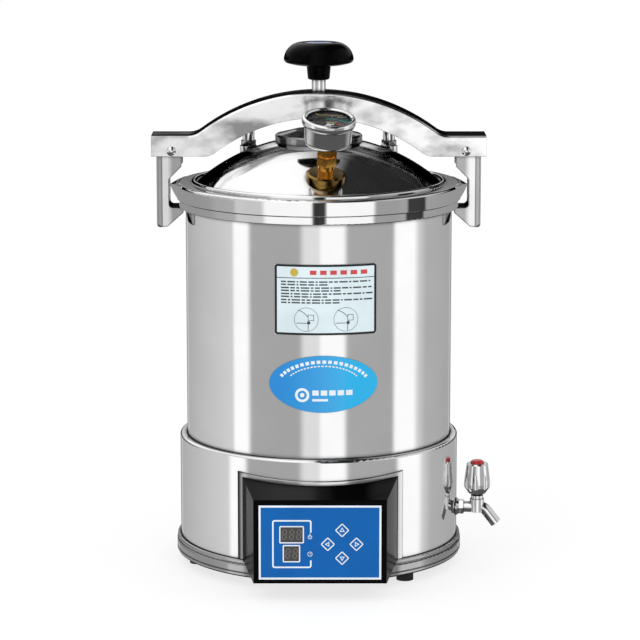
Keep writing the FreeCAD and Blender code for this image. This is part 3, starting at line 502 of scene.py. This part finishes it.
def ribbon(points, width, closed=False):
    """Left and right edges of a stripe along a path."""
    points = split_long(points, closed)
    count = len(points)
    left, right = [], []
    for i, (u, v) in enumerate(points):
        before = Vector(points[i - 1]) if (closed or i) else None
        after = Vector(points[(i + 1) % count]) if (closed or i < count - 1) else None
        here = Vector((u, v))
        into = (here - before).normalized() if before is not None else (after - here).normalized()
        out = (after - here).normalized() if after is not None else into
        normal = Vector((-(into.y + out.y), into.x + out.x)).normalized()
        reach = width / 2 / max(0.4, normal.dot(Vector((-into.y, into.x))))
        left.append(here + normal * reach)
        right.append(here - normal * reach)
    return left, right, closed


def disc(u, v, r, steps=32):
    """A filled disc, as a stripe between two half circles."""
    upper = arc_points(u, v, r, 180, 0, steps // 2)
    lower = arc_points(u, v, r, 180, 360, steps // 2)
    return [Vector(p) for p in upper], [Vector(p) for p in lower], False


def printed(name, stripes, surface, material, body, lift=0.02 * MM):
    """One piece of closed thin stripes lying on a surface."""
    vertices, faces = [], []
    for left, right, closed in stripes:
        base = len(vertices)
        for a, b in zip(left, right):
            for depth in (lift, lift + PRINT_THICKNESS):
                vertices.append(surface(a[0], a[1], depth))
                vertices.append(surface(b[0], b[1], depth))
        count = len(left)
        for i in range(count if closed else count - 1):
            p, q = base + 4 * i, base + 4 * ((i + 1) % count)
            faces += [(p + 2, p + 3, q + 3, q + 2), (p + 1, p, q, q + 1),
                      (p, p + 2, q + 2, q), (p + 3, p + 1, q + 1, q + 3)]
        if not closed:
            end = base + 4 * (count - 1)
            faces += [(base, base + 1, base + 3, base + 2), (end + 1, end, end + 2, end + 3)]
    return new_piece(name, vertices, faces, material, body)


def new_piece(name, vertices, faces, material, body):
    mesh = bpy.data.meshes.new(name)
    mesh.from_pydata([tuple(v) for v in vertices], [], faces)
    mesh.validate()
    mesh.update()
    obj = bpy.data.objects.new(name, mesh)
    bpy.context.scene.collection.objects.link(obj)
    fix_normals(mesh)
    mesh.materials.append(MATERIALS[material])
    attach(obj, body)
    return obj


def fix_normals(mesh):
    work = bmesh.new()
    work.from_mesh(mesh)
    bmesh.ops.recalc_face_normals(work, faces=work.faces)
    work.to_mesh(mesh)
    work.free()


SEGMENTS = (         # both ends of each bar, as fractions of the digit's width and height
    (0, 1, 1, 1), (1, 1, 1, 0.5), (1, 0.5, 1, 0), (0, 0, 1, 0),
    (0, 0, 0, 0.5), (0, 0.5, 0, 1), (0, 0.5, 1, 0.5))


def seven_segment(u, v, width, height, stroke):
    """All seven bars of one digit, centred at (u, v), leaning a little."""
    stripes = []
    for x0, y0, x1, y1 in SEGMENTS:
        lean = 0.10 * height
        start = Vector((u + (x0 - 0.5) * width + (y0 - 0.5) * lean, v + (y0 - 0.5) * height))
        end = Vector((u + (x1 - 0.5) * width + (y1 - 0.5) * lean, v + (y1 - 0.5) * height))
        along = (end - start).normalized() * stroke * 0.75
        stripes.append(ribbon([tuple(start + along), tuple(end - along)], stroke))
    return stripes


def box_path(u0, v0, u1, v1):
    return [(u0, v0), (u1, v0), (u1, v1), (u0, v1)]


def panel_point(across, down):
    """Place on the panel from fractions across from the left and down from the top."""
    return (panel_lo.x + across * (panel_hi.x - panel_lo.x), panel_hi.z - down * (panel_hi.z - panel_lo.z))


def make_panel_print():
    border = 2.2 * MM
    inset = border / 2
    frame_path = box_path(panel_lo.x + inset, panel_lo.z + inset, panel_hi.x - inset, panel_hi.z - inset)
    stripes = [ribbon(frame_path, border, True)]
    corner = 2.2 * MM
    left, top = panel_point(0.116, 0.205)
    right, low = panel_point(0.425, 0.834)
    upper_end, lower_end = panel_point(0, 0.363)[1], panel_point(0, 0.740)[1]
    bracket = [(right, upper_end), (right, top), (left, top), (left, low), (right, low), (right, lower_end)]
    stripes.append(ribbon(rounded_path(bracket, corner, False), 1.7 * MM))
    for u0, v0, u1, v1 in display_windows():
        outline = rounded_path(box_path(u0, v0, u1, v1), 0.8 * MM, True)
        stripes.append(ribbon(outline, 1.3 * MM, True))
    unit_u, unit_v = panel_point(0.418, 0.425)
    stripes.append(ribbon(arc_points(unit_u, unit_v, 2.0 * MM, 0, 345), 0.6 * MM, True))
    stripes.append(ribbon([(unit_u, unit_v - 0.5 * MM), (unit_u, unit_v + 4.4 * MM)], 0.7 * MM))
    clock_u, clock_v = panel_point(0.418, 0.655)
    stripes.append(ribbon(arc_points(clock_u, clock_v, 2.4 * MM, 0, 345), 0.6 * MM, True))
    hands = [(clock_u, clock_v + 1.6 * MM), (clock_u, clock_v), (clock_u + 1.3 * MM, clock_v)]
    stripes.append(ribbon(hands, 0.5 * MM))
    printed("panel_print", stripes, on_panel, "print_white", "pot")


def display_windows():
    """(left, bottom, right, top) of the two display windows, from the displays' mesh."""
    corners = [v.co for v in nodes["led_displays"].data.vertices if v.co.y < display_lo.y + 0.01 * MM]
    middle = (display_lo.z + display_hi.z) / 2
    windows = []
    for keep in (lambda z: z > middle, lambda z: z < middle):
        part = [co for co in corners if keep(co.z)]
        xs, zs = [co.x for co in part], [co.z for co in part]
        windows.append((min(xs), min(zs), max(xs), max(zs)))
    return windows


def make_display_digits():
    def on_display(u, v, depth):
        return Vector((u, display_lo.y - depth, v))
    stripes = []
    for (u0, v0, u1, v1), count in zip(display_windows(), (3, 2)):
        pitch = (u1 - u0) / (count + 0.25)
        height = (v1 - v0) * 0.58
        for i in range(count):
            centre = (u0 + u1) / 2 + (i - (count - 1) / 2) * pitch
            stripes += seven_segment(centre, (v0 + v1) / 2, pitch * 0.52, height, 1.05 * MM)
    printed("display_digits", stripes, on_display, "segment_light", "pot")


KEY_MARKS = {"key_top": 90, "key_bottom": 270, "key_left": 180, "key_right": 0}


def make_key_prints():
    for key, direction in KEY_MARKS.items():
        lo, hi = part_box(key)
        u, v = (lo.x + hi.x) / 2, (lo.z + hi.z) / 2
        half = (hi.x - lo.x) / 2

        def on_key(a, b, depth, front=lo.y):
            return Vector((a, front - depth, b))
        reach = half - 0.9 * MM
        corners = [(u - reach, v), (u, v + reach), (u + reach, v), (u, v - reach)]
        diamond = rounded_path(corners, 0.9 * MM, True)
        arrow = arc_points(u, v, 2.5 * MM, direction, direction + 240, 2)
        stripes = [ribbon(diamond, 1.2 * MM, True), ribbon(arrow, 0.8 * MM, True)]
        printed(key + "_print", stripes, on_key, "print_white", key)


def make_plate_print():
    """Generic instruction plate: black frame, header rule, plain bars for text and two outline diagrams."""
    u0, u1, v0, v1 = plate_lo.x, plate_hi.x, plate_lo.z, plate_hi.z
    edge = 2.2 * MM
    inset = edge / 2
    outline = rounded_path(box_path(u0 + inset, v0 + inset, u1 - inset, v1 - inset), 1.5 * MM, True)
    rule = v1 - 14.5 * MM
    rule_line = [(u0 + edge, rule), (u1 - edge, rule)]
    printed("plate_frame", [ribbon(outline, edge, True), ribbon(rule_line, 0.7 * MM)],
            on_jacket, "print_black", "pot")
    head = v1 - 8.5 * MM
    heading = []
    for i in range(6):
        start, end = u0 + (38 + 11 * i) * MM, u0 + (45 + 11 * i) * MM
        heading.append(ribbon([(start, head), (end, head)], 4.6 * MM))
    printed("plate_heading", heading, on_jacket, "print_red", "pot")
    marker = disc(u0 + 21 * MM, head, 4.4 * MM)
    printed("plate_marker", [marker], on_jacket, "print_yellow", "pot")
    bars = []
    for row in range(4):
        for half, (start, end) in enumerate(((0.06, 0.93), (0.06, 0.5 + 0.1 * (row % 2)))):
            v = rule - (4.2 + 6.6 * row + 3.1 * half) * MM
            cursor = u0 + start * (u1 - u0)
            step = 0
            while cursor < u0 + end * (u1 - u0):
                length = (5.5 + 3.7 * math.sin(2.3 * step + row)) * MM
                bars.append(ribbon([(cursor, v), (cursor + length, v)], 1.5 * MM))
                cursor += length + 1.6 * MM
                step += 1
    printed("plate_lines", bars, on_jacket, "print_grey", "pot")
    drawings = []
    for centre in (0.31, 0.70):
        u, v = u0 + centre * (u1 - u0), v0 + 17 * MM
        drawings.append(ribbon(arc_points(u, v, 13 * MM, 0, 350, 40), 0.35 * MM, True))
        elbow = [(u - 11 * MM, v - 4 * MM), (u + 2 * MM, v - 4 * MM), (u + 2 * MM, v - 12 * MM)]
        drawings.append(ribbon(elbow, 0.6 * MM))
        drawings.append(ribbon(arc_points(u - 14 * MM, v - 8 * MM, 19 * MM, 35, 75, 12), 0.6 * MM))
        drawings.append(ribbon(box_path(u + 2 * MM, v - 1 * MM, u + 8 * MM, v + 5 * MM), 0.5 * MM, True))
        drawings.append(disc(u + 2.5 * MM, v - 3.5 * MM, 1.8 * MM))
    printed("plate_diagrams", drawings, on_jacket, "print_grey", "pot")


def make_badge_print():
    """Generic badge marks: two curved rows of plain dashes, a ring mark and two bars."""
    u, v = (badge_lo.x + badge_hi.x) / 2, (badge_lo.z + badge_hi.z) / 2
    half_u, half_v = (badge_hi.x - badge_lo.x) / 2, (badge_hi.z - badge_lo.z) / 2
    arch_v, arch_half_v = v - 4 * MM, half_v + 2 * MM
    stripes = []

    def dash(angle, scale, length):
        ends = (math.radians(angle), math.radians(angle - length))
        return [(u + half_u * scale * math.cos(t), arch_v + arch_half_v * scale * math.sin(t)) for t in ends]
    for i in range(19):
        stripes.append(ribbon(dash(155 - 7.1 * i, 0.86, 4.6), 3.6 * MM))
    for i in range(22):
        stripes.append(ribbon(dash(147 - 5.4 * i, 0.72, 3.4), 1.4 * MM))
    mark_u, mark_v = u - 23 * MM, v - 12 * MM
    stripes.append(ribbon(arc_points(mark_u, mark_v, 6.4 * MM, 0, 350, 30), 2.8 * MM, True))
    stripes.append(disc(mark_u, mark_v, 2.4 * MM))
    for i in range(5):
        start = u + (-12 + 9.2 * i) * MM
        stripes.append(ribbon([(start, v - 9.5 * MM), (start + 7.0 * MM, v - 9.5 * MM)], 5.6 * MM))
    stripes.append(ribbon([(u - 12 * MM, v - 17.5 * MM), (u + 5 * MM, v - 17.5 * MM)], 2.6 * MM))
    printed("badge_print", stripes, on_jacket, "print_white", "pot")


# ---- gauge face ------------------------------------------------------------------------------
gauge_side = Vector((1, 0, 0))
gauge_up = gauge_axis.cross(gauge_side).normalized()


def dial_height():
    """Distance of the dial's front face from the gauge joint's point, along the gauge axis."""
    return max((v.co - gauge_origin).dot(gauge_axis) for v in nodes["gauge_dial"].data.vertices)


def make_gauge_face():
    front = dial_height()

    def on_dial(a, b, depth):
        return gauge_origin + gauge_side * a + gauge_up * b + gauge_axis * (front + depth)
    scale_r = 19.0 * MM
    arc_r = 14.4 * MM
    ticks = []
    for i in range(26):
        angle = math.radians(225 - 10.8 * i)
        inner = scale_r - (3.4 if i % 5 == 0 else 1.8) * MM
        ends = [(r * math.cos(angle), r * math.sin(angle)) for r in (inner, scale_r)]
        ticks.append(ribbon(ends, (0.55 if i % 5 == 0 else 0.3) * MM))
    printed("dial_ticks", ticks, on_dial, "print_white", "pot")
    printed("dial_working_arc", [ribbon(arc_points(0, 0, arc_r, 190, 62, 30), 1.4 * MM)], on_dial,
            "print_yellow", "pot")
    printed("dial_red_arc", [ribbon(arc_points(0, 0, arc_r, 58, -20, 20), 1.4 * MM)], on_dial,
            "print_red", "pot")
    printed("dial_ring", [ribbon(arc_points(0, 0, 23.3 * MM, 0, 352.5, 47), 1.3 * MM, True)], on_dial,
            "print_teal", "pot")


# ---- studio ------------------------------------------------------------------------------------
def make_floor():
    half = 60.0
    corners = [(-half, -half, 0), (half, -half, 0), (half, half, 0), (-half, half, 0)]
    mesh = bpy.data.meshes.new("floor")
    mesh.from_pydata(corners, [], [(0, 1, 2, 3)])
    floor = bpy.data.objects.new("floor", mesh)
    bpy.context.scene.collection.objects.link(floor)
    material = new_material("pale_floor", (0.25, 0.25, 0.25), 0.9)
    bsdf = material.node_tree.nodes["Principled BSDF"]
    bsdf.inputs["Specular IOR Level"].default_value = 0.0
    bsdf.inputs["Emission Color"].default_value = (1, 1, 1, 1)
    bsdf.inputs["Emission Strength"].default_value = 0.75
    mesh.materials.append(material)
    floor.visible_glossy = False


BAND_STOPS = [      # degrees round from the front, brightness that the steel mirrors
    (-180, 0.95), (-160, 0.90), (-158, 0.45), (-80, 0.72), (-77, 1.15), (-64, 1.15), (-60, 0.44), (-17, 0.44),
    (-12, 0.86), (0, 0.86), (2, 1.15), (21, 1.15), (25, 0.46), (66, 0.44), (70, 1.15), (90, 1.15), (96, 0.72),
    (106, 0.50), (158, 0.42), (160, 0.80), (180, 0.90)]
SKY_STOPS = [(0.0, 0.5), (0.20, 1.0), (0.28, 1.25), (0.45, 1.15), (0.50, 0.40), (0.55, 0.28), (0.585, 0.025),
             (0.76, 0.02), (0.80, 0.5), (1.0, 0.8)]


def height_stops(stops):
    """Ramp stops given as the upward part of a direction, from -1 to 1."""
    return [((z + 1) / 2, value) for z, value in stops]


def make_world():
    """White to the camera, even light on matt surfaces, and studio panels for everything that mirrors."""
    world = bpy.data.worlds.new("studio")
    bpy.context.scene.world = world
    world.use_nodes = True
    tree = world.node_tree
    background = tree.nodes["Background"]
    coordinates = tree.nodes.new("ShaderNodeTexCoord")
    direction = tree.nodes.new("ShaderNodeSeparateXYZ")
    tree.links.new(coordinates.outputs["Generated"], direction.inputs["Vector"])
    x, y, z = (direction.outputs[axis] for axis in "XYZ")
    bands = ramp(tree, turn_from_front(tree, x, y), turn_stops(BAND_STOPS))
    sideways = math_node(tree, "ADD", math_node(tree, "MULTIPLY", x, 0.5), 0.5)
    sky = ramp(tree, sideways, SKY_STOPS)
    height = math_node(tree, "ADD", math_node(tree, "MULTIPLY", z, 0.5), 0.5)
    behind = ramp(tree, y, [(0.35, 0.0), (0.55, 1.0)])
    low = ramp(tree, height, height_stops([(-0.11, 0.0), (-0.085, 1.0), (0.30, 1.0), (0.42, 0.0)]))
    backdrop = ramp(tree, height, height_stops([(0.112, 0.01), (0.14, 0.50), (0.25, 0.70), (0.42, 0.90)]))
    is_sky = ramp(tree, z, [(0.10, 0.0), (0.35, 1.0)])
    mirrored = mix_colors(tree, is_sky, bands, sky)
    mirrored = mix_colors(tree, math_node(tree, "MULTIPLY", behind, low), mirrored, backdrop)
    below = ramp(tree, height, height_stops([(-0.42, 1.0), (-0.26, 0.0)]))
    mirrored = mix_colors(tree, below, mirrored, 0.10)
    rays = tree.nodes.new("ShaderNodeLightPath")
    seen = mix_colors(tree, rays.outputs["Is Glossy Ray"], 1.0, mirrored)
    seen = mix_colors(tree, rays.outputs["Is Camera Ray"], seen, 1.0)
    tree.links.new(seen, background.inputs["Color"])


def make_lights():
    for name, place, size, power in (("key", (-1.6, -1.8, 2.4), 1.8, 16), ("fill", (1.8, -1.2, 1.6), 1.4, 6)):
        light = bpy.data.lights.new(name, "AREA")
        light.size = size
        light.energy = power
        lamp = bpy.data.objects.new(name, light)
        lamp.location = place
        aim = Vector((0, 0, 0.25)) - Vector(place)
        lamp.rotation_euler = aim.to_track_quat("-Z", "Y").to_euler()
        lamp.visible_glossy = False
        bpy.context.scene.collection.objects.link(lamp)


CAMERA_DISTANCE = 3.25
CAMERA_PITCH = math.radians(10.33)
CAMERA_TARGET = Vector((0, 0, 0.2753))
LENS = 161.0               # on a 36 mm sensor


def make_camera():
    camera_data = bpy.data.cameras.new("camera")
    camera_data.lens = LENS
    camera_data.sensor_width = 36
    camera_data.shift_x = 0.002
    camera_data.clip_end = 200
    camera = bpy.data.objects.new("camera", camera_data)
    away = Vector((0, -math.cos(CAMERA_PITCH), math.sin(CAMERA_PITCH)))
    camera.location = CAMERA_TARGET + away * CAMERA_DISTANCE
    camera.rotation_euler = (math.pi / 2 - CAMERA_PITCH, 0, 0)
    bpy.context.scene.collection.objects.link(camera)
    bpy.context.scene.camera = camera


dress_cad_nodes()
make_panel_print()
make_display_digits()
make_key_prints()
make_plate_print()
make_badge_print()
make_gauge_face()
make_floor()
make_world()
make_lights()
make_camera()
bpy.context.scene.view_settings.view_transform = "Standard"
